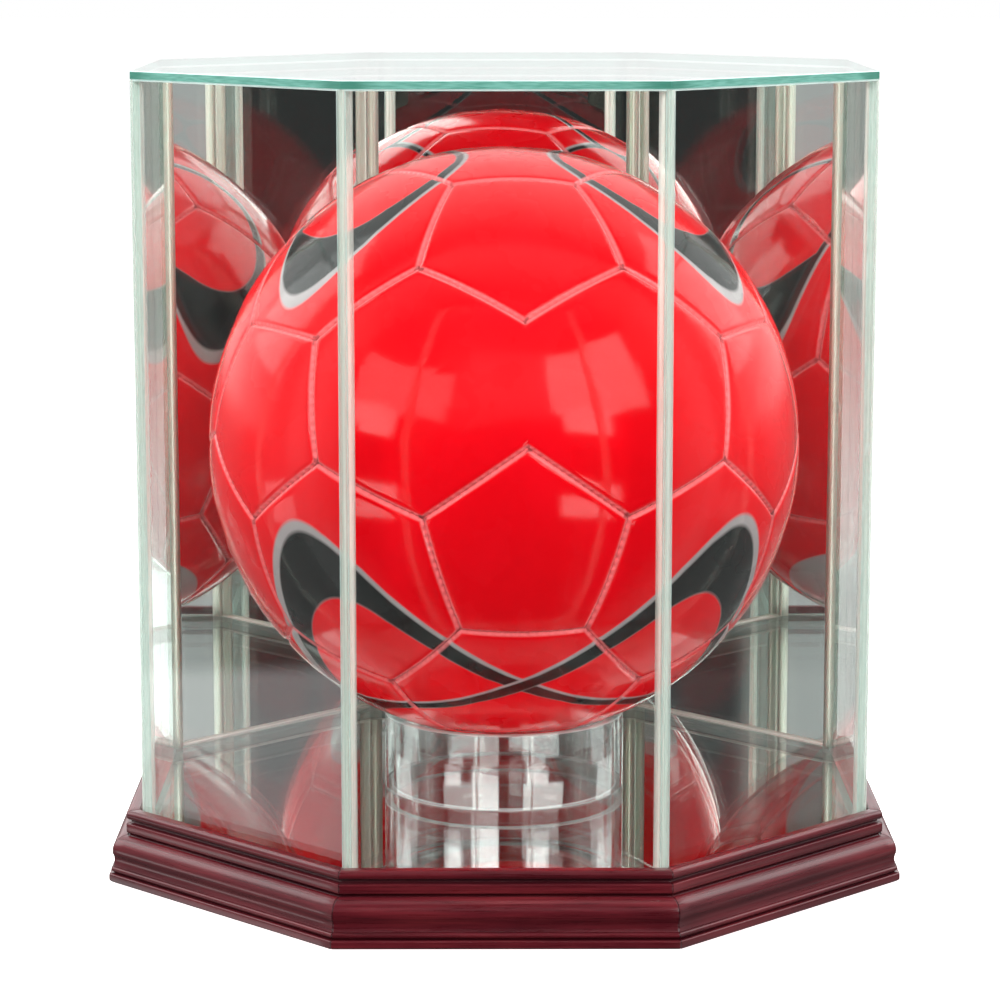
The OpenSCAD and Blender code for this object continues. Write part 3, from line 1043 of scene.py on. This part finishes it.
def studio_room(tree):
    """What glass and mirrors see: a dark room in front, grey to the sides and white behind.

    Bearings are in radians, round from the front and up.
    """
    where = add(tree, "ShaderNodeTexCoord").outputs["Generated"]
    parts = add(tree, "ShaderNodeSeparateXYZ", {0: where}).outputs
    front = math_node(tree, "MULTIPLY", parts["Y"], -1.0)
    round_front = math_node(tree, "ARCTAN2", parts["X"], front)
    up = math_node(tree, "ARCSINE", parts["Z"])
    behind = remap(tree, parts["Y"], -1, 1, smooth=False)
    dark = rgb(0.012, 0.014, 0.014)
    room = ramp(tree, behind, (0.0, dark), (0.3, dark), (0.44, grey(0.44)), (0.48, grey(0.44)),
                (0.515, grey(0.14)), (0.56, grey(0.14)), (0.7, grey(0.8)), (0.85, grey(1.0)))
    # The lower part of the room behind is in shade
    shade = math_node(tree, "MULTIPLY", remap(tree, up, -0.05, 0.05, 1.0, 0.0),
                      remap(tree, parts["Y"], 0.12, 0.25))
    room = mix_colour(tree, math_node(tree, "MULTIPLY", shade, 0.85), room, dark)
    # A white table, seen low down on the left
    table = math_node(tree, "MULTIPLY", window(tree, up, math.radians(-20), math.radians(-12.6), 0.007),
                      window(tree, parts["Y"], 0.02, 0.24, 0.02))
    table = math_node(tree, "MULTIPLY", table, remap(tree, parts["X"], 0.0, 0.1, 1.0, 0.15))
    room = mix_colour(tree, table, room, grey(1.7))
    for *place, bright in SOFT_BOXES:
        room = mix_colour(tree, soft_box(tree, round_front, up, place, 0.02), room, grey(bright))
    *place, bright = MIRRORED_BOX
    path = add(tree, "ShaderNodeLightPath").outputs
    box = soft_box(tree, round_front, up, place, 0.04)
    box = math_node(tree, "MULTIPLY", box, math_node(tree, "GREATER_THAN", path["Glossy Depth"], 1.5))
    return mix_colour(tree, box, room, grey(bright))


def studio_world():
    """White for the camera and even soft light, with the studio room in reflections."""
    world = bpy.data.worlds.new("studio")
    bpy.context.scene.world = world
    world.use_nodes = True
    # Lit only by rays that really look at it, so that shiny things never sample the soft light
    world.cycles.sampling_method = "NONE"
    tree = world.node_tree
    tree.nodes.clear()
    path = add(tree, "ShaderNodeLightPath").outputs
    where = add(tree, "ShaderNodeTexCoord").outputs["Generated"]
    parts = add(tree, "ShaderNodeSeparateXYZ", {0: where}).outputs
    height = remap(tree, parts["Z"], -1, 1, smooth=False)
    behind = remap(tree, parts["Y"], -1, 1, smooth=False)
    sky = ramp(tree, height, (0.48, grey(0.2)), (0.75, grey(0.6)), (1.0, grey(1.0)))
    sides = ramp(tree, behind, (0.0, grey(0.2)), (0.25, grey(0.3)), (0.5, grey(1.0)))
    dim = add(tree, "ShaderNodeBackground", {"Color": studio_room(tree), "Strength": 1.0}).outputs[0]
    soft = add(tree, "ShaderNodeBackground", {"Color": sky, "Strength": 0.25}).outputs[0]
    plain = add(tree, "ShaderNodeBackground", {"Color": rgb(1, 1, 1), "Strength": 1.0}).outputs[0]
    # What a mirror passes on to light something else
    passed = add(tree, "ShaderNodeBackground", {"Color": sides, "Strength": 5.4}).outputs[0]
    seen = mix_shader(tree, math_node(tree, "LESS_THAN", path["Diffuse Depth"], 0.5), passed, dim)
    shown = mix_shader(tree, path["Is Glossy Ray"], soft, seen)
    shown = mix_shader(tree, path["Is Camera Ray"], shown, plain)
    add(tree, "ShaderNodeOutputWorld", {"Surface": shown})


def stage():
    """The floor, the lamps and the world round the case."""
    stage_floor()
    middle = CASE_H / 2
    area_light("soft_box_left", (0.7, 1.1), (-1.15, -0.25, 0.5), (0, 0, middle), 3.0)
    area_light("soft_box_right", (0.7, 1.1), (1.15, -0.25, 0.5), (0, 0, middle), 3.0)
    area_light("overhead", (1.2, 1.2), (0, -0.1, 1.5), (0, 0, 0), 1.5)
    area_light("front_fill", (1.4, 1.0), (0, -1.8, 1.15), (0, 0, middle), 9.2)
    # These light the milky rear joints from behind
    area_light("rear_left", (0.6, 1.0), (-1.0, 0.8, 0.45), (0, 0, middle), 13.0)
    area_light("rear_right", (0.6, 1.0), (1.0, 0.8, 0.45), (0, 0, middle), 13.0)
    studio_world()


def camera():
    """A long lens a little above the top plate, looking slightly down."""
    data = bpy.data.cameras.new("camera")
    data.lens, data.sensor_width = 121.92, 36
    data.clip_end = 100
    obj = bpy.data.objects.new("camera", data)
    bpy.context.scene.collection.objects.link(obj)
    obj.location = (-0.0061, -1.2495, 0.3407 + WOOD_Z)
    down, right = 9.559, 0.2126
    obj.rotation_euler = (math.radians(90 - down), 0, math.radians(-right))
    bpy.context.scene.camera = obj


def view_settings():
    """Plain colours, and enough bounces for mirrors seen in mirrors through glass."""
    scene = bpy.context.scene
    scene.view_settings.view_transform = "Standard"
    scene.cycles.max_bounces = 16
    scene.cycles.glossy_bounces = 8
    scene.cycles.transmission_bounces = 8
    scene.cycles.transparent_max_bounces = 40
    scene.cycles.use_denoising = True


camera()
clear_panes()
mirror_panes()
glass_top()
floor_mirror()
corner_beads()
for side in range(SIDES):
    moulding(side)
riser_ring()
football()
valve()
for node_name, finish in CARRIED_OVER.items():
    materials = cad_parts[node_name].data.materials
    for index in range(len(materials)):
        materials[index] = finish
stage()
view_settings()
